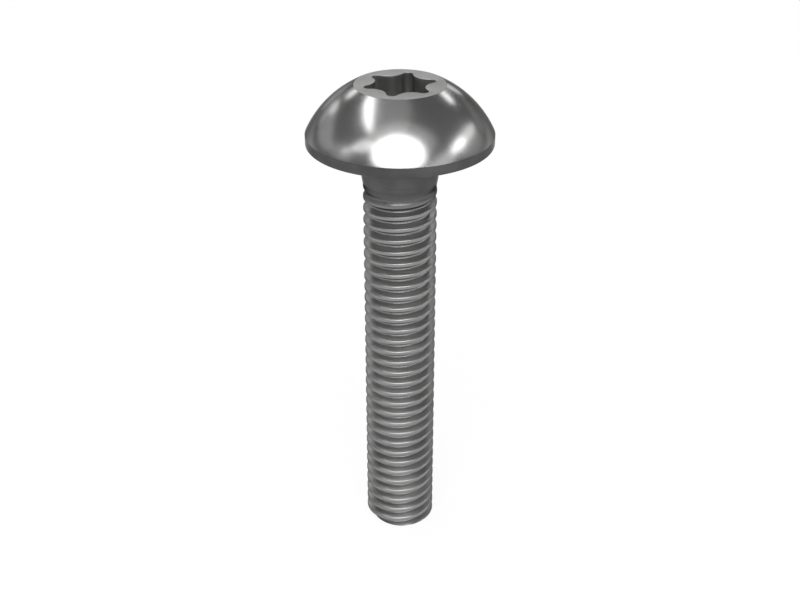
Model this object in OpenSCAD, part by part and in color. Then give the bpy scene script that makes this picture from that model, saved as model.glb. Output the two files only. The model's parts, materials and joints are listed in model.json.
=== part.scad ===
// Hexalobular socket screw with a domed head, a short plain neck and a fine thread down to its end.
// It is turned, forged and rolled from one bar, so it is one solid.
// Frame: origin at the centre of the bearing face under the head, +Z along the axis towards the head.

/* [Head] */
// Diameter of the head
head_d = 14.5; // [11:0.1:18]
// Height of the head, from its bearing face to its flat top
head_h = 4.6; // [3.8:0.1:6]
// Height of the straight rim around the head
rim_h = 0.8; // [0.4:0.1:1.6]
// Radius of the rim's lower edge
rim_edge_r = 0.12; // [0.05:0.01:0.3]
// Diameter of the flat on top of the dome
top_flat_d = 7; // [6.2:0.1:9]

/* [Socket] */
// Width of the socket across the tips of two opposite lobes
socket_d = 5.6; // [5:0.05:6]
// Width of the socket between two opposite ridges
waist_d = 3.95; // [3.6:0.05:4.2]
// Radius of the round tip of a lobe
lobe_r = 0.42; // [0.3:0.01:0.5]
// Depth of the socket's straight walls at the lobe tips
socket_depth = 2.8; // [1.5:0.1:3]
// Further depth of the conical floor at the axis
floor_cone_h = 0.9; // [0.3:0.1:1.2]
// Turn of the lobes about the axis from +X, in degrees
socket_turn = 16; // [0:1:59]

/* [Neck] */
// Diameter of the plain neck, the nominal size of the screw
neck_d = 6; // [5.95:0.05:6.4]
// Length of the neck with its taper, from the bearing face to the thread
neck_l = 3.15; // [1.5:0.05:8]
// Length of the taper from the neck down to the thread
neck_taper_l = 0.4; // [0.2:0.05:0.8]
// Radius of the fillet between the neck and the bearing face
neck_fillet_r = 0.25; // [0.1:0.05:0.4]

/* [Thread] */
// Length of the screw under the head, from the bearing face to the end of the thread
length = 35; // [16:1:50]
// Nominal diameter of the thread
nominal_d = 6; // [5.9:0.05:6.1]
// Diameter over the crests, at the small end of the tolerance
thread_d = 5.8; // [5.7:0.05:5.9]
// Rise of the thread in one turn
pitch = 1; // [0.8:0.05:1.25]
// Angle between the two flanks, in degrees
flank_angle = 60; // [55:1:62]
// Height over which the groove fades out below the neck
runout_l = 2; // [0.3:0.1:3]
// Height of the chamfer at the end of the thread
tip_chamfer_l = 0.1; // [0.05:0.05:0.6]
// Turn of the thread about the axis, in degrees
thread_turn = 310; // [0:5:355]
// Hand of the thread
thread_hand = "right"; // [right, left]

/* [Hidden] */
$fn = 96;

// Steps of the thread's surface in one turn
TURN_STEPS = 24;
// Lobes of the socket
LOBES = 6;
// Overlap by which one shape runs into or past the next
OVERLAP = 0.5;
// Share of the groove's depth that is left where it fades out
LEAST_GROOVE = 0.02;
// Ledge by which the neck's taper ends outside the crests
NECK_LEDGE = 0.04;
// Depth by which each ridge's circle runs into its lobes' circles, so that they meet at one sharp point
RIDGE_BITE = 0.002;

head_r = head_d / 2;
top_flat_r = top_flat_d / 2;
neck_r = neck_d / 2;
crest_r = thread_d / 2;
neck_end_r = crest_r + NECK_LEDGE;
tip_r = crest_r - tip_chamfer_l;

// The dome is part of a sphere about the axis, through the rim's top edge and the edge of the flat
dome_z = (top_flat_r ^ 2 + head_h ^ 2 - head_r ^ 2 - rim_h ^ 2) / (2 * (head_h - rim_h));
dome_r = norm([head_r, rim_h - dome_z]);

// Lobe tips and ridges are circles that touch, centred on two rings half a lobe apart
waist_r = waist_d / 2;
touch_r = lobe_r - RIDGE_BITE;
lobe_ring_r = socket_d / 2 - lobe_r;
half_lobe = 180 / LOBES;
ridge_r = (lobe_ring_r ^ 2 + waist_r ^ 2 - 2 * lobe_ring_r * waist_r * cos(half_lobe) - touch_r ^ 2)
    / (2 * (touch_r + lobe_ring_r * cos(half_lobe) - waist_r));
ridge_ring_r = waist_r + ridge_r;

// Metric thread form: the sharp V is cut to 17/24 of its height between nominal diameter and root
flank_slope = tan(flank_angle / 2);
sharp_h = pitch / (2 * flank_slope);
root_r = nominal_d / 2 - 17 / 24 * sharp_h;
pitch_r = nominal_d / 2 - 3 / 8 * sharp_h;
crest_w = pitch / 2 - 2 * (crest_r - pitch_r) * flank_slope;
flank_run = (crest_r - root_r) * flank_slope;

// One turn of the thread's section, as height and radius: root, crest, crest, root
SECTION = [
    [0, root_r],
    [flank_run, crest_r],
    [flank_run + crest_w, crest_r],
    [2 * flank_run + crest_w, root_r],
];
helix_start_z = -length - pitch - OVERLAP;
helix_steps = TURN_STEPS * ceil((length - neck_l + 2 * pitch + 2 * OVERLAP) / pitch);

function groove_share(z) = min(1, max(LEAST_GROOVE, (-neck_l - z) / runout_l));

function helix_point(step, corner) =
    let (
        angle = 360 * step / TURN_STEPS,
        z = helix_start_z + pitch * step / TURN_STEPS + SECTION[corner][0],
        r = crest_r - (crest_r - SECTION[corner][1]) * groove_share(z)
    )
    [r * cos(angle), r * sin(angle), z];

function helix_index(step, corner) = len(SECTION) * step + corner;

function fan(centre, rim) = [for (i = [0:len(rim) - 1]) [centre, rim[i], rim[(i + 1) % len(rim)]]];

// Solid rod with the thread around it, whose rough ends lie past the tip and inside the neck
module threaded_rod() {
    last = len(SECTION) - 1;
    low_centre = helix_index(helix_steps, last) + 1;
    high_centre = low_centre + 1;
    points = [
        for (step = [0:helix_steps], corner = [0:last]) helix_point(step, corner),
        [0, 0, helix_start_z + pitch / 2],
        [0, 0, helix_start_z + pitch * helix_steps / TURN_STEPS - pitch / 2 + SECTION[last][0]],
    ];
    flanks = [
        for (step = [0:helix_steps - 1], corner = [0:last - 1]) [
            helix_index(step, corner + 1),
            helix_index(step + 1, corner + 1),
            helix_index(step + 1, corner),
            helix_index(step, corner),
        ],
    ];
    roots = [
        for (step = [0:helix_steps - 1 - TURN_STEPS]) [
            helix_index(step + TURN_STEPS, 0),
            helix_index(step + 1 + TURN_STEPS, 0),
            helix_index(step + 1, last),
            helix_index(step, last),
        ],
    ];
    low_rim = [
        for (corner = [1:last]) helix_index(0, corner),
        for (step = [TURN_STEPS:-1:0]) helix_index(step, 0),
    ];
    high_rim = [
        for (step = [helix_steps - TURN_STEPS:helix_steps]) helix_index(step, last),
        for (corner = [last - 1:-1:0]) helix_index(helix_steps, corner),
    ];
    polyhedron(points, concat(flanks, roots, fan(low_centre, low_rim), fan(high_centre, high_rim)));
}

// Threaded part of the shank, cut flat and chamfered at its end and running up inside the neck
module threaded_shank() {
    clear_r = crest_r + OVERLAP;
    half_step = 180 / TURN_STEPS;
    rotate([0, 0, thread_turn]) intersection() {
        mirror([0, thread_hand == "left" ? 1 : 0, 0]) threaded_rod();
        rotate([0, 0, half_step]) rotate_extrude() polygon([
            [0, -length],
            [tip_r, -length],
            [clear_r, -length + clear_r - tip_r],
            [clear_r, -neck_l + OVERLAP],
            [0, -neck_l + OVERLAP],
        ]);
    }
}

// Neck with its taper, and the fillet that joins it to the bearing face
module neck() {
    taper_z = -neck_l + neck_taper_l;
    rotate_extrude() {
        polygon([[0, OVERLAP], [0, -neck_l], [neck_end_r, -neck_l], [neck_r, taper_z], [neck_r, OVERLAP]]);
        difference() {
            translate([0, -neck_fillet_r]) square([neck_r + neck_fillet_r, 2 * neck_fillet_r]);
            translate([neck_r + neck_fillet_r, -neck_fillet_r]) circle(neck_fillet_r);
        }
    }
}

// Head with its rim and dome
module head() {
    rotate_extrude() difference() {
        intersection() {
            translate([0, dome_z]) circle(dome_r);
            square([head_r, head_h]);
        }
        difference() {
            translate([head_r - rim_edge_r, 0]) square(rim_edge_r);
            translate([head_r - rim_edge_r, rim_edge_r]) circle(rim_edge_r);
        }
    }
}

// Outline of the socket: a star through the circles' centres, plus the lobes, less the ridges
module socket_outline() {
    difference() {
        union() {
            polygon([
                for (i = [0:2 * LOBES - 1])
                    let (r = i % 2 == 0 ? lobe_ring_r : ridge_ring_r)
                        [r * cos(i * half_lobe), r * sin(i * half_lobe)],
            ]);
            for (i = [0:LOBES - 1]) rotate(2 * i * half_lobe) translate([lobe_ring_r, 0]) circle(lobe_r);
        }
        for (i = [0:LOBES - 1]) rotate((2 * i + 1) * half_lobe) translate([ridge_ring_r, 0]) circle(ridge_r);
    }
}

// Space of the socket, open at the top, with a floor that slopes down from the lobes to the axis
module socket() {
    clear_r = socket_d / 2 + OVERLAP;
    floor_z = head_h - socket_depth;
    floor_slope = floor_cone_h / (socket_d / 2);
    intersection() {
        rotate([0, 0, socket_turn])
            translate([0, 0, floor_z - floor_cone_h - OVERLAP])
                linear_extrude(socket_depth + floor_cone_h + 2 * OVERLAP) socket_outline();
        rotate_extrude() polygon([
            [0, floor_z - floor_cone_h],
            [clear_r, floor_z + OVERLAP * floor_slope],
            [clear_r, head_h + OVERLAP],
            [0, head_h + OVERLAP],
        ]);
    }
}

module screw() {
    color([0.6, 0.6, 0.61]) difference() {
        union() {
            head();
            neck();
            threaded_shank();
        }
        socket();
    }
}

screw();
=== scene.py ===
"""Looks of the hexalobular socket screw: one closed steel piece with its finishes, and a plain studio."""

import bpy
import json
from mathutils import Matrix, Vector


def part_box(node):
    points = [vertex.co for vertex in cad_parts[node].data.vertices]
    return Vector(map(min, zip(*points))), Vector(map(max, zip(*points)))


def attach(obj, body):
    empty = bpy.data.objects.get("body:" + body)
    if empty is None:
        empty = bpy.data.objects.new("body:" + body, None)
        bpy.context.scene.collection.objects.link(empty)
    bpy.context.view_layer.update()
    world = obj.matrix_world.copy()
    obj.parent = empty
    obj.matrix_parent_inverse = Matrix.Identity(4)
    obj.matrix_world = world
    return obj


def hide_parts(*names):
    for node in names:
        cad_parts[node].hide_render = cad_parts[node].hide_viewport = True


bl_info = {
    "name": "Hexalobular Socket Screw",
    "version": (1, 0, 0),
    "blender": (4, 5, 0),
    "location": "View3D > Sidebar > Screw",
    "description": "Builds a domed hexalobular socket screw with a rolled thread, and a studio for it",
    "category": "Add Mesh",
}

import json
import math

import bmesh
import bpy
from mathutils import Vector

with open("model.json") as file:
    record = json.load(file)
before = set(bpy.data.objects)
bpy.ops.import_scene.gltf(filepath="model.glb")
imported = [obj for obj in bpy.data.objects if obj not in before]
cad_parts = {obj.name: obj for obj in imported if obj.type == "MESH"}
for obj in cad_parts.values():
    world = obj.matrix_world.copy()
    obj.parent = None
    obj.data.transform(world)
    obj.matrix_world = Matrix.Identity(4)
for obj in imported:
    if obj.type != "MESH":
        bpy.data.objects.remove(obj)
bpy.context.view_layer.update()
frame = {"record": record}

MM = 0.001
NODE = "screw"
BODY = "root"
LOBES = 6

LOW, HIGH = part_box(NODE)
# The mount on the straight part of the neck, which gives its radius and both its ends
SHANK = next(m for m in frame["record"]["mounts"] if m["name"] == "shank")
SHANK_TOP = SHANK["pos_m"][2] + SHANK["dims"]["length_mm"] / 2 * MM
SHANK_END = SHANK["pos_m"][2] - SHANK["dims"]["length_mm"] / 2 * MM

# The finishes in the order of the piece's material slots
THREAD, NECK, BEARING, DOME, FLAT, SOCKET = range(6)


def length(name, text, default):
    """A size in metres."""
    return bpy.props.FloatProperty(name=name, description=text, default=default, unit="LENGTH", precision=5)


def angle(name, text, degrees):
    """An angle, written here in degrees."""
    default = math.radians(degrees)
    return bpy.props.FloatProperty(name=name, description=text, default=default, subtype="ANGLE")


def share(name, text, default):
    """A number from 0 to 1."""
    return bpy.props.FloatProperty(
        name=name, description=text, default=default, min=0, max=1, subtype="FACTOR"
    )


def count(name, text, default):
    """A whole number of steps."""
    return bpy.props.IntProperty(name=name, description=text, default=default, min=3)


# Share by which a grey has more red and less blue than green
WARMTH = 0.005


def grey(name, text, level):
    """A grey in linear light, a trace warmer than a neutral one."""
    colour = (level * (1 + WARMTH), level, level * (1 - WARMTH))
    return bpy.props.FloatVectorProperty(
        name=name, description=text, default=colour, min=0, max=1, size=3, subtype="COLOR"
    )


class HeadSizes(bpy.types.PropertyGroup):
    """Sizes of the domed head."""

    radius: length("Radius", "Radius of the head", HIGH.x)
    height: length("Height", "Height of the flat top above the bearing face", HIGH.z)
    rim_height: length("Rim Height", "Height of the straight rim", 0.8 * MM)
    low_edge: length("Low Edge", "Radius of the rim's lower edge", 0.12 * MM)
    high_edge: length("High Edge", "Radius of the edge between rim and dome", 0.06 * MM)
    flat_radius: length("Flat Radius", "Radius of the flat on top of the dome", 3.5 * MM)
    flat_edge: length("Flat Edge", "Radius of the edge between dome and flat", 0.08 * MM)
    steps: count("Steps", "Steps round the head", 180)


class SocketSizes(bpy.types.PropertyGroup):
    """Sizes of the drive socket."""

    tip_radius: length("Tip Radius", "From the axis to the tip of a lobe", 2.8 * MM)
    waist_radius: length("Waist Radius", "From the axis to the top of a ridge", 1.975 * MM)
    lobe_radius: length("Lobe Radius", "Radius of the round tip of a lobe", 0.42 * MM)
    depth: length("Depth", "Depth of the walls at the lobe tips", 2.8 * MM)
    floor_depth: length("Floor Depth", "Further depth of the floor at the axis", 0.9 * MM)
    mouth_edge: length("Mouth Edge", "Radius of the edge round the mouth", 0.02 * MM)
    turn: angle("Turn", "Turn of the lobes about the axis", 16)
    arc_steps: count("Arc Steps", "Steps along one lobe or one ridge", 15)


class NeckSizes(bpy.types.PropertyGroup):
    """Sizes of the plain neck."""

    radius: length("Radius", "Radius of the neck", SHANK["dims"]["r_mm"] * MM)
    top: length("Top", "Height of the neck's upper end, where its fillet starts", SHANK_TOP)
    end: length("End", "Height of the neck's lower end, where its taper starts", SHANK_END)
    taper_radius: length("Taper Radius", "Radius at the taper's lower end", 2.94 * MM)
    edge: length("Edge", "Height of the bevel between taper and thread", 0.03 * MM)


class ThreadSizes(bpy.types.PropertyGroup):
    """Sizes of the rolled thread."""

    crest_radius: length("Crest Radius", "Radius over the crests", 2.9 * MM)
    root_radius: length("Root Radius", "Radius at the bottom of the groove", 2.387 * MM)
    pitch: length("Pitch", "Rise of the thread in one turn", 1 * MM)
    crest_width: length("Crest Width", "Height of the flat on a crest", 0.2405 * MM)
    top: length("Top", "Height at which the thread meets the neck", -3.15 * MM)
    end: length("End", "Height of the end of the screw", LOW.z)
    end_radius: length("End Radius", "Radius of the end inside its chamfer", 2.8 * MM)
    fade: length("Fade", "Height over which the groove fades out below the neck", 2 * MM)
    first_crest: length("First Crest", "Height of a crest at the thread's turn, below the end", -35.083 * MM)
    crest_round: length("Crest Round", "Reach of the rounding between crest and flank", 0.05 * MM)
    root_round: length("Root Round", "Reach of the rounding between flank and root", 0.12 * MM)
    turn: angle("Turn", "Turn of the thread about the axis", 310)
    steps: count("Steps", "Steps in one turn", 90)
    samples: count("Samples", "Steps across one pitch", 24)


class SteelFinish(bpy.types.PropertyGroup):
    """Colours and gloss of the steel."""

    dome_colour: grey("Dome Colour", "Colour of the polished dome", 0.33)
    flat_colour: grey("Flat Colour", "Colour of the pressed flat top", 0.55)
    socket_colour: grey("Socket Colour", "Colour of the socket's walls", 0.52)
    # The rim's and neck's grey is the steel's own tone painted much darker: painted shade, standing in for a
    # dark reflection on these upright walls, which would otherwise mirror the bright floor
    neck_colour: grey("Neck Colour", "Colour of the rim and the neck", 0.092)
    bearing_colour: grey("Bearing Colour", "Colour of the bearing face", 0.2)
    thread_colour: grey("Thread Colour", "Colour of the rolled thread", 0.28)
    edge_colour: grey("Edge Colour", "Tint of the steel at a grazing angle", 0.22)
    dark_edge_colour: grey("Dark Edge Colour", "Tint of the dark steel at a grazing angle", 0.55)
    dome_roughness: share("Dome Roughness", "Roughness of the polished dome", 0.21)
    flat_roughness: share("Flat Roughness", "Roughness of the pressed flat top", 0.42)
    socket_roughness: share("Socket Roughness", "Roughness of the socket's walls", 0.3)
    neck_roughness: share("Neck Roughness", "Roughness of the rim and the neck", 0.25)
    bearing_roughness: share("Bearing Roughness", "Roughness of the bearing face", 0.35)
    thread_roughness: share("Thread Roughness", "Roughness of the rolled thread", 0.36)


class Studio(bpy.types.PropertyGroup):
    """The camera, the floor and the light."""

    camera_distance: length("Camera Distance", "From the axis to the camera", 87.3 * MM)
    camera_height: length("Camera Height", "Height of the camera above the bearing face", 34.1 * MM)
    camera_tilt: angle("Camera Tilt", "Angle by which the camera looks down", 28.75)
    lens: bpy.props.FloatProperty(
        name="Lens",
        description="Focal length for a sensor 36 mm wide",
        default=54.72,
        subtype="DISTANCE_CAMERA",
    )
    floor_size: length("Floor Size", "Width of the floor", 6)
    floor_colour: grey("Floor Colour", "Colour of the floor", 0.9)
    floor_glow: share("Floor Glow", "Share of the floor's white that is its own", 0.88)
    lamp_distance: length("Lamp Distance", "From the head to the lamps", 0.6)
    ceiling: share("Ceiling", "Brightness of the surroundings overhead", 0.23)
    backdrop_rise: angle("Backdrop Rise", "Elevation up to which the surroundings are white", 0.5)
    ceiling_rise: angle("Ceiling Rise", "Elevation from which the surroundings are grey", 6.5)


def add_node(tree, kind, inputs=(), **settings):
    """A new node, with its settings, and its inputs linked to other outputs or set to plain values."""
    node = tree.nodes.new(kind)
    for name, value in settings.items():
        setattr(node, name, value)
    for key, value in dict(inputs).items():
        if isinstance(value, bpy.types.NodeSocket):
            tree.links.new(value, node.inputs[key])
        else:
            node.inputs[key].default_value = value
    return node


def maths(tree, operation, *values):
    """The output of one maths node."""
    return add_node(tree, "ShaderNodeMath", enumerate(values), operation=operation).outputs[0]


THREAD_INPUTS = {
    "Crest Radius": "NodeSocketFloat",
    "Root Radius": "NodeSocketFloat",
    "Pitch": "NodeSocketFloat",
    "Crest Width": "NodeSocketFloat",
    "Top": "NodeSocketFloat",
    "End": "NodeSocketFloat",
    "End Radius": "NodeSocketFloat",
    "Fade": "NodeSocketFloat",
    "First Crest": "NodeSocketFloat",
    "Crest Round": "NodeSocketFloat",
    "Root Round": "NodeSocketFloat",
    "Turn": "NodeSocketFloat",
    "Turns": "NodeSocketInt",
    "Steps": "NodeSocketInt",
    "Samples": "NodeSocketInt",
    "Material": "NodeSocketMaterial",
}
# Angle between the two flanks of a groove
FLANK_ANGLE = math.radians(60)
# Turns by which the sheet starts below the first crest, so that it covers the whole end
TURNS_BELOW = 2
# Points of the sheet that lie nearer to each other than this become one
WELD = 0.001 * MM


def crest_distance(tree, given, height, turns):
    """Distance along the axis from a point to the middle of the nearest crest."""
    climbed = maths(tree, "DIVIDE", maths(tree, "SUBTRACT", height, given["First Crest"]), given["Pitch"])
    phase = maths(tree, "FRACT", maths(tree, "ADD", maths(tree, "SUBTRACT", climbed, turns), 0.5))
    pitches = maths(tree, "ABSOLUTE", maths(tree, "SUBTRACT", phase, 0.5))
    return maths(tree, "MULTIPLY", pitches, given["Pitch"])


def section_radius(tree, given, height, turns):
    """Radius of the thread at a height: crest, straight flank and root with rounded corners."""
    crest = given["Crest Radius"]
    half_crest = maths(tree, "DIVIDE", given["Crest Width"], 2)
    past_crest = maths(tree, "SUBTRACT", crest_distance(tree, given, height, turns), half_crest)
    flank = maths(tree, "SUBTRACT", crest, maths(tree, "DIVIDE", past_crest, math.tan(FLANK_ANGLE / 2)))
    rounded_root = maths(tree, "SMOOTH_MAX", flank, given["Root Radius"], given["Root Round"])
    section = maths(tree, "SMOOTH_MIN", rounded_root, crest, given["Crest Round"])
    below_top = maths(tree, "DIVIDE", maths(tree, "SUBTRACT", given["Top"], height), given["Fade"])
    depth_share = add_node(
        tree, "ShaderNodeMapRange", {"Value": below_top}, interpolation_type="SMOOTHSTEP"
    ).outputs["Result"]
    depth = maths(tree, "MULTIPLY", maths(tree, "SUBTRACT", crest, section), depth_share)
    chamfer = maths(tree, "ADD", given["End Radius"], maths(tree, "SUBTRACT", height, given["End"]))
    return maths(tree, "SMOOTH_MIN", maths(tree, "SUBTRACT", crest, depth), chamfer, given["Crest Round"])


def thread_tree():
    """Geometry nodes that wrap a grid round the axis as one helical sheet and close it across the end."""
    tree = bpy.data.node_groups.new("rolled_thread", "GeometryNodeTree")
    for name, kind in THREAD_INPUTS.items():
        tree.interface.new_socket(name, in_out="INPUT", socket_type=kind)
    tree.interface.new_socket("Geometry", in_out="OUTPUT", socket_type="NodeSocketGeometry")
    given = tree.nodes.new("NodeGroupInput").outputs
    columns = maths(tree, "ADD", maths(tree, "MULTIPLY", given["Turns"], given["Steps"]), 1)
    rows = maths(tree, "ADD", given["Samples"], 1)
    grid = add_node(
        tree, "GeometryNodeMeshGrid", {"Size X": 1, "Size Y": 1, "Vertices X": columns, "Vertices Y": rows}
    )
    spot = add_node(
        tree, "ShaderNodeSeparateXYZ", {0: tree.nodes.new("GeometryNodeInputPosition").outputs[0]}
    ).outputs

    # The grid is 1 by 1 about its middle: its columns wind round the axis, and its rows climb one pitch
    turns = maths(tree, "MULTIPLY", maths(tree, "ADD", spot["X"], 0.5), given["Turns"])
    row = maths(tree, "ADD", spot["Y"], 0.5)
    climbed = maths(tree, "SUBTRACT", maths(tree, "ADD", turns, row), TURNS_BELOW)
    free = maths(tree, "ADD", given["First Crest"], maths(tree, "MULTIPLY", climbed, given["Pitch"]))

    # The row nearest to the end is moved onto it, so that the end has a clean edge
    half_row = maths(tree, "DIVIDE", maths(tree, "DIVIDE", given["Pitch"], given["Samples"]), 2)
    to_end = maths(tree, "SUBTRACT", given["End"], free)
    near = maths(tree, "LESS_THAN", maths(tree, "ABSOLUTE", to_end), half_row)
    raised = maths(tree, "ADD", free, maths(tree, "MULTIPLY", to_end, near))
    height = maths(tree, "MINIMUM", maths(tree, "MAXIMUM", raised, given["End"]), given["Top"])

    # What lies below the end is drawn in towards the axis, and closes the end as a disc
    past_end = maths(tree, "DIVIDE", maths(tree, "SUBTRACT", given["End"], raised), given["Pitch"])
    drawn_in = maths(tree, "MINIMUM", maths(tree, "MAXIMUM", maths(tree, "SUBTRACT", 1, past_end), 0), 1)
    radius = maths(tree, "MULTIPLY", section_radius(tree, given, height, turns), drawn_in)
    round_axis = maths(
        tree, "ADD", maths(tree, "MULTIPLY", maths(tree, "FRACT", turns), math.tau), given["Turn"]
    )
    place = add_node(
        tree,
        "ShaderNodeCombineXYZ",
        {
            "X": maths(tree, "MULTIPLY", radius, maths(tree, "COSINE", round_axis)),
            "Y": maths(tree, "MULTIPLY", radius, maths(tree, "SINE", round_axis)),
            "Z": height,
        },
    ).outputs[0]
    wrapped = add_node(
        tree, "GeometryNodeSetPosition", {"Geometry": grid.outputs["Mesh"], "Position": place}
    ).outputs[0]
    welded = add_node(
        tree, "GeometryNodeMergeByDistance", {"Geometry": wrapped, "Distance": WELD}
    ).outputs[0]
    real = add_node(tree, "GeometryNodeRealizeInstances", {"Geometry": welded}).outputs[0]
    finished = add_node(
        tree, "GeometryNodeSetMaterial", {"Geometry": real, "Material": given["Material"]}
    ).outputs[0]
    add_node(tree, "NodeGroupOutput", {"Geometry": finished})
    return tree


def roll_thread(sizes, material):
    """The thread as a plain mesh, open at its top ring."""
    tree = thread_tree()
    carrier = bpy.data.objects.new("thread_carrier", bpy.data.meshes.new("thread_carrier"))
    bpy.context.scene.collection.objects.link(carrier)
    modifier = carrier.modifiers.new("Rolled Thread", "NODES")
    modifier.node_group = tree
    values = {
        "Turns": math.ceil((sizes.top - sizes.first_crest) / sizes.pitch) + TURNS_BELOW,
        "Material": material,
    }
    for socket in tree.interface.items_tree:
        if socket.in_out == "INPUT":
            if socket.name not in values:
                values[socket.name] = getattr(sizes, socket.name.lower().replace(" ", "_"))
            modifier[socket.identifier] = values[socket.name]
    done = carrier.evaluated_get(bpy.context.evaluated_depsgraph_get())
    mesh = bpy.data.meshes.new_from_object(done)
    carrier.modifiers.remove(modifier)
    bpy.data.objects.remove(carrier)
    return mesh


# Angle by which a vertex may lie short of a full turn and still count as the first of its ring
SORT_SLACK = 0.001


def turn_of(vert):
    """Angle of a vertex about the axis, from 0 to a full turn, with some slack at its start."""
    return (math.atan2(vert.co.y, vert.co.x) + SORT_SLACK) % math.tau


def bridge(bm, low, high, finish):
    """Joins two closed rings about the axis: with quads where they match, or else with triangles."""
    low = sorted(low, key=turn_of)
    high = sorted(high, key=turn_of)
    if len(low) == len(high):
        corners = [(low[i - 1], low[i], high[i], high[i - 1]) for i in range(len(low))]
    else:
        corners = []
        low_turns = [turn_of(v) for v in low] + [turn_of(low[0]) + math.tau]
        high_turns = [turn_of(v) for v in high] + [turn_of(high[0]) + math.tau]

        # Each triangle moves on along the ring whose next vertex comes first
        i = j = 0
        while i < len(low) or j < len(high):
            here, there = low[i % len(low)], high[j % len(high)]
            if j == len(high) or (i < len(low) and low_turns[i + 1] <= high_turns[j + 1]):
                i += 1
                corners.append((here, low[i % len(low)], there))
            else:
                j += 1
                corners.append((here, high[j % len(high)], there))
    for corner in corners:
        bm.faces.new(corner).material_index = finish


def ring(bm, radius, height, steps):
    """A circle of vertices about the axis."""
    turns = [math.tau * i / steps for i in range(steps)]
    return [bm.verts.new((radius * math.cos(t), radius * math.sin(t), height)) for t in turns]


def arc(centre, radius, start, stop, steps):
    """Points of a profile, as radius and height, along an arc from one normal's elevation to another's."""
    angles = [start + (stop - start) * i / steps for i in range(steps + 1)]
    return [(centre[0] + radius * math.cos(a), centre[1] + radius * math.sin(a)) for a in angles]


# Run of faces beside a rounded edge that keeps the flat beyond it flat in its shading
SHOULDER = 0.05 * MM
# Steps along the fillet, the rim's lower edge, each of the other rounded edges, and the dome
FILLET_STEPS = 8
LOW_EDGE_STEPS = 6
EDGE_STEPS = 4
DOME_STEPS = 48


def neck_profile(neck, thread_top):
    """Bevel up from the thread, taper, straight neck and the fillet up to the bearing face."""
    fillet = -neck.top
    return [
        (neck.taper_radius, thread_top + neck.edge),
        (neck.taper_radius, thread_top + neck.edge + SHOULDER),
        (neck.radius, neck.end),
        (neck.radius, neck.end + SHOULDER),
        (neck.radius, (neck.end + neck.top) / 2),
        (neck.radius, neck.top - SHOULDER),
        *arc((neck.radius + fillet, neck.top), fillet, math.pi, math.pi / 2, FILLET_STEPS),
    ]


def dome_circle(head):
    """Height of the dome's centre and its radius, from the rim's top edge and the edge of the flat."""
    run = head.flat_radius**2 + head.height**2 - head.radius**2 - head.rim_height**2
    middle = run / (2 * (head.height - head.rim_height))
    return middle, math.hypot(head.radius, head.rim_height - middle)


def high_edge_circle(head):
    """Centre of the rounded edge between rim and dome, and the elevation at which the dome leaves it."""
    middle, radius = dome_circle(head)
    low_r = head.radius - head.high_edge
    low_z = middle + math.sqrt((radius - head.high_edge) ** 2 - low_r**2)
    return (low_r, low_z), math.atan2(low_z - middle, low_r)


def bearing_profile(head, neck):
    """The flat bearing face, from the fillet to the rim's rounded edge."""
    inner = neck.radius - neck.top
    outer = head.radius - head.low_edge
    return [(inner + SHOULDER, 0), ((inner + outer) / 2, 0), (outer - SHOULDER, 0), (outer, 0)]


def rim_profile(head):
    """The straight rim and the rounded edges below and above it."""
    outer = head.radius - head.low_edge
    centre, low_turn = high_edge_circle(head)
    return [
        *arc((outer, head.low_edge), head.low_edge, -math.pi / 2, 0, LOW_EDGE_STEPS)[1:],
        (head.radius, head.low_edge + SHOULDER),
        (head.radius, head.rim_height / 2),
        (head.radius, centre[1] - SHOULDER),
        *arc(centre, head.high_edge, 0, low_turn, EDGE_STEPS),
    ]


def dome_profile(head):
    """The dome and the rounded edge of the flat."""
    middle, radius = dome_circle(head)
    low_turn = high_edge_circle(head)[1]
    high_z = head.height - head.flat_edge
    high_r = math.sqrt((radius - head.flat_edge) ** 2 - (high_z - middle) ** 2)
    high_turn = math.atan2(high_z - middle, high_r)
    return [
        *arc((0, middle), radius, low_turn, high_turn, DOME_STEPS)[1:-1],
        *arc((high_r, high_z), head.flat_edge, high_turn, math.pi / 2, EDGE_STEPS),
    ]


def socket_outline(sizes, offset):
    """Outline of the socket from round lobes and ridges that touch, moved outwards by an offset."""
    half_lobe = math.pi / LOBES
    lobe_ring = sizes.tip_radius - sizes.lobe_radius
    waist = sizes.waist_radius

    # A ridge's circle touches the waist and the circles of both lobes beside it, which gives its radius
    reach = lobe_ring**2 + waist**2 - 2 * lobe_ring * waist * math.cos(half_lobe) - sizes.lobe_radius**2
    ridge_radius = reach / (2 * (sizes.lobe_radius + lobe_ring * math.cos(half_lobe) - waist))
    ridge_ring = waist + ridge_radius
    to_ridge = Vector((math.cos(half_lobe), math.sin(half_lobe))) * ridge_ring - Vector((lobe_ring, 0))
    lobe_turn = math.atan2(to_ridge.y, to_ridge.x)
    ridge_turn = lobe_turn - half_lobe

    # Each point has the direction and the distance of its circle's centre from the axis, its own direction
    # from that centre, and the circle's radius
    steps = sizes.arc_steps
    points = []
    for i in range(LOBES):
        lobe = sizes.turn + 2 * i * half_lobe
        ridge = lobe + half_lobe
        for k in range(steps):
            spread = 2 * k / steps - 1
            points.append((lobe, lobe_ring, lobe + spread * lobe_turn, sizes.lobe_radius + offset))
        for k in range(steps):
            spread = 1 - 2 * k / steps
            points.append((ridge, ridge_ring, ridge + math.pi + spread * ridge_turn, ridge_radius - offset))
    return [
        (away * math.cos(at) + radius * math.cos(turn), away * math.sin(at) + radius * math.sin(turn))
        for at, away, turn, radius in points
    ]


# Rings of the socket: down its walls as shares of their depth, and across its floor as shares of its reach
WALL_RINGS = (0.1, 0.5, 0.9, 1)
FLOOR_RINGS = (0.95, 0.7, 0.4, 0.15)


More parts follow.
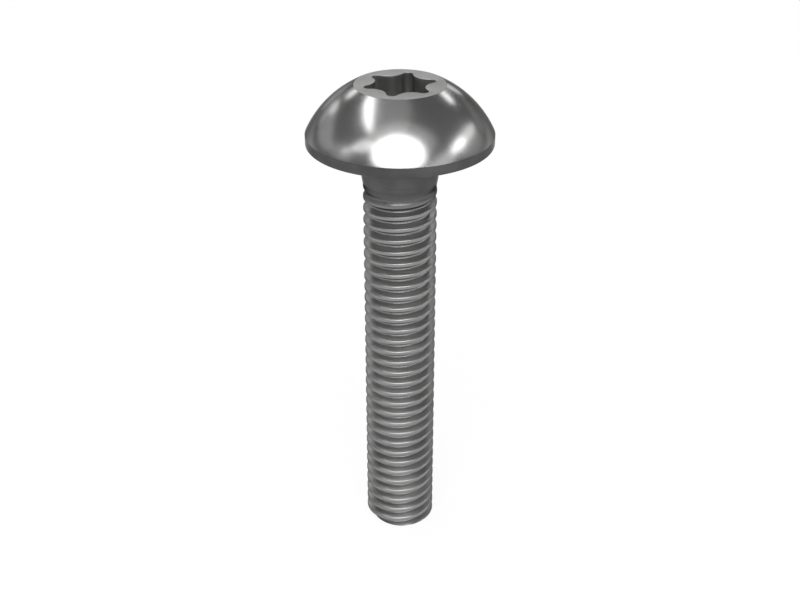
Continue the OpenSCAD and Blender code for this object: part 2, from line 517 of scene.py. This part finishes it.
def cut_socket(bm, head, sizes, mouth_ring):
    """The socket: its rounded mouth, its straight walls and its conical floor."""
    edge = sizes.mouth_edge
    level = head.height
    rings = []
    for k in range(EDGE_STEPS + 1):
        t = math.pi / 2 * k / EDGE_STEPS
        z = level - edge + edge * math.cos(t)
        rings.append([bm.verts.new((x, y, z)) for x, y in socket_outline(sizes, edge - edge * math.sin(t))])
    bridge(bm, rings[0], mouth_ring, FLAT)
    outline = socket_outline(sizes, 0)
    floor = level - sizes.depth

    def floor_height(x, y):
        return floor - sizes.floor_depth * (1 - math.hypot(x, y) / sizes.tip_radius)

    for depth_share in WALL_RINGS:
        rings.append([
            bm.verts.new((x, y, (level - edge) * (1 - depth_share) + floor_height(x, y) * depth_share))
            for x, y in outline
        ])
    for reach_share in FLOOR_RINGS:
        spots = [(x * reach_share, y * reach_share) for x, y in outline]
        rings.append([bm.verts.new((x, y, floor_height(x, y))) for x, y in spots])
    for upper, lower in zip(rings, rings[1:]):
        bridge(bm, lower, upper, SOCKET)
    centre = bm.verts.new((0, 0, floor_height(0, 0)))
    last = sorted(rings[-1], key=turn_of)
    for i in range(len(last)):
        bm.faces.new((last[i - 1], last[i], centre)).material_index = SOCKET


# Edges at which the surface turns by more than this stay sharp in its shading
SHARP = math.radians(42)


def form_screw(settings, finishes):
    """The whole screw as one closed piece: the thread, and the neck and head grown from its top ring."""
    head = settings.head
    bm = bmesh.new()
    bm.from_mesh(roll_thread(settings.thread, finishes[THREAD]))
    for face in bm.faces:
        face.material_index = THREAD
    lower = list({v for e in bm.edges if e.is_boundary for v in e.verts})
    for profile, finish in (
        (neck_profile(settings.neck, settings.thread.top), NECK),
        (bearing_profile(head, settings.neck), BEARING),
        (rim_profile(head), NECK),
        (dome_profile(head), DOME),
    ):
        for radius, height in profile:
            upper = ring(bm, radius, height, head.steps)
            bridge(bm, lower, upper, finish)
            lower = upper
    cut_socket(bm, head, settings.socket, lower)
    bmesh.ops.recalc_face_normals(bm, faces=bm.faces)
    for face in bm.faces:
        face.smooth = True
    for edge in bm.edges:
        edge.smooth = edge.calc_face_angle(0) < SHARP
    mesh = bpy.data.meshes.new("screw_body")
    bm.to_mesh(mesh)
    bm.free()
    for finish in finishes:
        mesh.materials.append(finish)
    piece = bpy.data.objects.new("screw_body", mesh)
    bpy.context.scene.collection.objects.link(piece)
    even = piece.modifiers.new("Even Shading", "WEIGHTED_NORMAL")
    even.keep_sharp = True
    return piece


# Grain of each finish: its counts per metre along X, Y and Z, which draw it out into lines where they
# differ, its relief, and how far roughness, fine tone and broad tone each vary from their middle
GRAINS = {
    "rolled_steel": ((400, 400, 12000), 0.0004 * MM, 0.06, 0.08, 0.05),
    "turned_steel": ((250, 250, 14000), 0.0004 * MM, 0.06, 0.08, 0.16),
    "faced_steel": ((3000, 3000, 3000), 0.0004 * MM, 0.06, 0.08, 0.05),
    "polished_steel": ((5000, 5000, 5000), 0.0001 * MM, 0.02, 0.02, 0.03),
    "pressed_steel": ((9000, 9000, 9000), 0.003 * MM, 0.06, 0.08, 0.05),
    "punched_steel": ((3000, 3000, 200), 0.0001 * MM, 0.02, 0.04, 0.05),
}
# Detail of the fine and the broad noise, and the range in which each of them mostly lies
FINE_DETAIL = 4
BROAD_DETAIL = 3
FINE_RANGE = (0.3, 0.7)
BROAD_RANGE = (0.35, 0.65)
# Counts of the broad noise per metre, in every direction
BROAD_COUNT = 350


def noise(tree, place, scale, detail):
    """Noise over a place, whose values lie around a half."""
    return add_node(
        tree, "ShaderNodeTexNoise", {"Vector": place, "Scale": scale, "Detail": detail}
    ).outputs[0]


def vary(tree, value, usual, middle, reach):
    """A value carried from its usual range to one that reaches equally far below and above a middle."""
    return add_node(
        tree,
        "ShaderNodeMapRange",
        {
            "Value": value,
            "From Min": usual[0],
            "From Max": usual[1],
            "To Min": middle - reach,
            "To Max": middle + reach,
        },
    ).outputs[0]


def faded_colour(tree, place, colour, other, high, low):
    """A colour that gives way to another one between a low and a high level."""
    rise = add_node(tree, "ShaderNodeSeparateXYZ", {0: place}).outputs["Z"]
    own_share = add_node(
        tree,
        "ShaderNodeMapRange",
        {"Value": rise, "From Min": high, "From Max": low},
        interpolation_type="SMOOTHSTEP",
    ).outputs["Result"]
    change = Vector(colour) - Vector(other)
    return add_node(
        tree,
        "ShaderNodeVectorMath",
        {0: change, 1: own_share, 2: tuple(other)},
        operation="MULTIPLY_ADD",
    ).outputs[0]


def steel(name, colour, edge_colour, roughness, fade=None):
    """Steel with its grain, and with another tint at a grazing angle.

    Where a fade is given, as a colour and two heights, the steel has that colour above the first one and
    its own below the second: the thread takes the neck's painted shade this way, on its smooth top.
    """
    counts, relief, rough_reach, fine_reach, broad_reach = GRAINS[name]
    material = bpy.data.materials.new(name)
    material.use_nodes = True
    tree = material.node_tree
    tree.nodes.clear()
    place = tree.nodes.new("ShaderNodeTexCoord").outputs["Object"]
    drawn_out = add_node(tree, "ShaderNodeMapping", {"Vector": place, "Scale": counts}).outputs[0]
    fine = noise(tree, drawn_out, 1, FINE_DETAIL)
    broad = noise(tree, place, BROAD_COUNT, BROAD_DETAIL)
    fine_tone = vary(tree, fine, FINE_RANGE, 1, fine_reach)
    broad_tone = vary(tree, broad, BROAD_RANGE, 1, broad_reach)
    tone = maths(tree, "MULTIPLY", fine_tone, broad_tone)
    plain = faded_colour(tree, place, colour, *fade) if fade else tuple(colour)
    base = add_node(tree, "ShaderNodeVectorMath", {0: plain, "Scale": tone}, operation="SCALE").outputs[0]
    mixed = maths(tree, "DIVIDE", maths(tree, "ADD", fine, broad), 2)
    rough = vary(tree, mixed, BROAD_RANGE, roughness, rough_reach)
    bump = add_node(tree, "ShaderNodeBump", {"Height": fine, "Strength": 1, "Distance": relief}).outputs[0]
    shader = add_node(
        tree,
        "ShaderNodeBsdfPrincipled",
        {
            "Base Color": base,
            "Metallic": 1,
            "Roughness": rough,
            "Normal": bump,
            "Specular Tint": (*edge_colour, 1),
        },
    )
    add_node(tree, "ShaderNodeOutputMaterial", {"Surface": shader.outputs[0]})
    return material


def steel_finishes(finish, thread):
    """The six finishes, in the order of the piece's material slots."""
    edge = finish.edge_colour
    # Below the neck, over the height where the groove fades out, the thread gives way to the neck's colour:
    # painted shade on the thread's smooth top
    fade = (finish.neck_colour, thread.top, thread.top - thread.fade)
    return [
        steel("rolled_steel", finish.thread_colour, edge, finish.thread_roughness, fade),
        # Rim and neck: turned steel whose dark colour is partly painted shade
        steel("turned_steel", finish.neck_colour, finish.dark_edge_colour, finish.neck_roughness),
        steel("faced_steel", finish.bearing_colour, edge, finish.bearing_roughness),
        steel("polished_steel", finish.dome_colour, edge, finish.dome_roughness),
        steel("pressed_steel", finish.flat_colour, edge, finish.flat_roughness),
        steel("punched_steel", finish.socket_colour, edge, finish.socket_roughness),
    ]


# Oval softboxes: direction from the head as azimuth and elevation, width and height as seen from it and
# roll about that line, all in degrees, and brightness, where 1 is white
SOFTBOXES = {
    "front_key": (-92, 43, 58, 42, 0, 3.4),
    "front_glow": (-90, 62, 75, 33, 0, 0.35),
    "right_strip": (-7, 29, 25, 7, -5, 3.4),
    "right_fill": (12, 27, 44, 8, -15, 1.6),
    "right_halo": (11, 19, 46, 16, -15, 0.25),
    "right_glow": (-40, 24, 50, 14, 15, 0.9),
    "rear_right": (55, 34, 17, 7, -15, 3.4),
    "rear_patch": (71, 13, 12, 12, 0, 3.4),
    "rear_left": (157, 61, 54, 9, 13, 3.4),
    "left_fill": (-145, 42, 24, 12, 30, 1.6),
    "left_strip": (-161, 31, 20, 6, 40, 1.3),
    "left_glow": (147, 19, 54, 18, 5, 0.42),
    "left_halo": (-170, 24, 34, 12, 10, 0.35),
    "left_patch": (131, 21, 16, 7, 30, 1.4),
    "left_horizon": (111, 5, 16, 11, 0, 1.5),
    "small_rear_left": (120, 29, 13, 7, 20, 2.6),
    "rear": (92, 28, 55, 22, 0, 0.8),
    "right_haze": (53, 12, 34, 14, 0, 0.26),
    "left_haze": (124, 12, 26, 12, 0, 0.36),
    "overhead": (180, 78, 76, 44, 0, 0.25),
}
# Watts per square metre at which a lamp is as bright as white
WHITE_LAMP = 4


def add_softbox(name, azimuth, elevation, width, height, roll, brightness, distance):
    """An oval lamp of a given brightness, which mirrors in the steel and isn't seen by the camera itself."""
    data = bpy.data.lights.new(name, "AREA")
    data.shape = "ELLIPSE"
    data.size = 2 * distance * math.tan(math.radians(width) / 2)
    data.size_y = 2 * distance * math.tan(math.radians(height) / 2)
    data.energy = WHITE_LAMP * brightness * data.size * data.size_y * math.pi / 4
    lamp = bpy.data.objects.new(name, data)
    lamp.visible_camera = False
    bpy.context.scene.collection.objects.link(lamp)
    around, up = math.radians(azimuth), math.radians(elevation)
    out = Vector((math.cos(up) * math.cos(around), math.cos(up) * math.sin(around), math.sin(up)))
    lamp.location = out * distance
    lamp.rotation_euler = (math.pi / 2 - up, 0, math.pi / 2 + around)
    lamp.rotation_euler.rotate_axis("Z", math.radians(roll))


def seen_share(tree):
    """1 for rays from the camera, from a mirror and through glass, and 0 for dull light."""
    rays = tree.nodes.new("ShaderNodeLightPath").outputs
    glossy = maths(tree, "MAXIMUM", rays["Is Camera Ray"], rays["Is Glossy Ray"])
    return maths(tree, "MAXIMUM", glossy, rays["Is Transmission Ray"])


def light_world(studio):
    """Surroundings that are white at the horizon and grey overhead, the same for every ray."""
    world = bpy.data.worlds.new("studio_surroundings")
    world.use_nodes = True
    tree = world.node_tree
    tree.nodes.clear()
    direction = tree.nodes.new("ShaderNodeTexCoord").outputs["Generated"]
    rise = add_node(tree, "ShaderNodeSeparateXYZ", {0: direction}).outputs["Z"]
    overhead = add_node(
        tree,
        "ShaderNodeMapRange",
        {
            "Value": rise,
            "From Min": math.sin(studio.backdrop_rise),
            "From Max": math.sin(studio.ceiling_rise),
            "To Min": 1,
            "To Max": studio.ceiling,
        },
        interpolation_type="SMOOTHSTEP",
    ).outputs["Result"]
    shader = add_node(tree, "ShaderNodeBackground", {"Color": (1, 1, 1, 1), "Strength": overhead})
    add_node(tree, "ShaderNodeOutputWorld", {"Surface": shader.outputs[0]})
    bpy.context.scene.world = world


# Distance that keeps the floor clear of the screw's end face
FLOOR_GAP = 0.01 * MM


def lay_floor(studio):
    """A plain pale floor under the screw, part of whose white is its own, so that it stays even."""
    half = studio.floor_size / 2
    level = LOW.z - FLOOR_GAP
    corners = ((-half, -half), (half, -half), (half, half), (-half, half))
    mesh = bpy.data.meshes.new("floor")
    mesh.from_pydata([(x, y, level) for x, y in corners], [], [(0, 1, 2, 3)])
    material = bpy.data.materials.new("pale_floor")
    material.use_nodes = True
    tree = material.node_tree
    tree.nodes.clear()
    dull = add_node(tree, "ShaderNodeBsdfDiffuse", {"Color": (*studio.floor_colour, 1)}).outputs[0]
    white = add_node(tree, "ShaderNodeEmission", {"Color": (1, 1, 1, 1), "Strength": 1}).outputs[0]
    own_share = maths(tree, "MULTIPLY", seen_share(tree), studio.floor_glow)
    shader = add_node(tree, "ShaderNodeMixShader", {0: own_share, 1: dull, 2: white})
    add_node(tree, "ShaderNodeOutputMaterial", {"Surface": shader.outputs[0]})
    mesh.materials.append(material)
    floor = bpy.data.objects.new("floor", mesh)
    bpy.context.scene.collection.objects.link(floor)


def place_camera(studio):
    """The camera in front of the screw, looking down at it."""
    data = bpy.data.cameras.new("camera")
    data.lens = studio.lens
    data.clip_start = 1 * MM
    camera = bpy.data.objects.new("camera", data)
    camera.location = (0, -studio.camera_distance, studio.camera_height)
    camera.rotation_euler = (math.pi / 2 - studio.camera_tilt, 0, 0)
    bpy.context.scene.collection.objects.link(camera)
    bpy.context.scene.camera = camera


class ScrewSettings(bpy.types.PropertyGroup):
    """Everything that a user can change."""

    head: bpy.props.PointerProperty(type=HeadSizes, name="Head", description="Sizes of the head")
    socket: bpy.props.PointerProperty(type=SocketSizes, name="Socket", description="Sizes of the socket")
    neck: bpy.props.PointerProperty(type=NeckSizes, name="Neck", description="Sizes of the neck")
    thread: bpy.props.PointerProperty(type=ThreadSizes, name="Thread", description="Sizes of the thread")
    finish: bpy.props.PointerProperty(type=SteelFinish, name="Finish", description="Look of the steel")
    studio: bpy.props.PointerProperty(type=Studio, name="Studio", description="Camera, floor and light")


class SCREW_OT_form_screw(bpy.types.Operator):
    """Form the screw with its head, socket, neck and thread as one closed piece"""

    bl_idname = "screw.form_screw"
    bl_label = "Form Screw"

    def execute(self, context):
        settings = context.scene.screw
        piece = form_screw(settings, steel_finishes(settings.finish, settings.thread))
        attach(piece, BODY)
        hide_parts(NODE)
        return {"FINISHED"}


class SCREW_OT_set_stage(bpy.types.Operator):
    """Set the floor, the softboxes, the surroundings and the camera"""

    bl_idname = "screw.set_stage"
    bl_label = "Set Stage"

    def execute(self, context):
        studio = context.scene.screw.studio
        lay_floor(studio)
        light_world(studio)
        for name, box in SOFTBOXES.items():
            add_softbox(name, *box, studio.lamp_distance)
        place_camera(studio)
        context.scene.view_settings.view_transform = "Standard"
        return {"FINISHED"}


class SCREW_PT_sizes(bpy.types.Panel):
    """Sizes, finishes and studio of the screw, with the buttons that build them"""

    bl_idname = "SCREW_PT_sizes"
    bl_label = "Screw"
    bl_space_type = "VIEW_3D"
    bl_region_type = "UI"
    bl_category = "Screw"

    def draw(self, context):
        settings = context.scene.screw
        for group in ("head", "socket", "neck", "thread", "finish", "studio"):
            box = self.layout.box()
            box.label(text=group.title())
            values = getattr(settings, group)
            for name in values.__annotations__:
                box.prop(values, name)
        self.layout.operator("screw.form_screw")
        self.layout.operator("screw.set_stage")


CLASSES = (
    HeadSizes,
    SocketSizes,
    NeckSizes,
    ThreadSizes,
    SteelFinish,
    Studio,
    ScrewSettings,
    SCREW_OT_form_screw,
    SCREW_OT_set_stage,
    SCREW_PT_sizes,
)


def register():
    for cls in CLASSES:
        bpy.utils.register_class(cls)
    bpy.types.Scene.screw = bpy.props.PointerProperty(type=ScrewSettings)


def unregister():
    del bpy.types.Scene.screw
    for cls in reversed(CLASSES):
        bpy.utils.unregister_class(cls)


def main():
    """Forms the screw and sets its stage."""
    register()
    bpy.ops.screw.form_screw()
    bpy.ops.screw.set_stage()


if __name__ == "__main__":
    main()
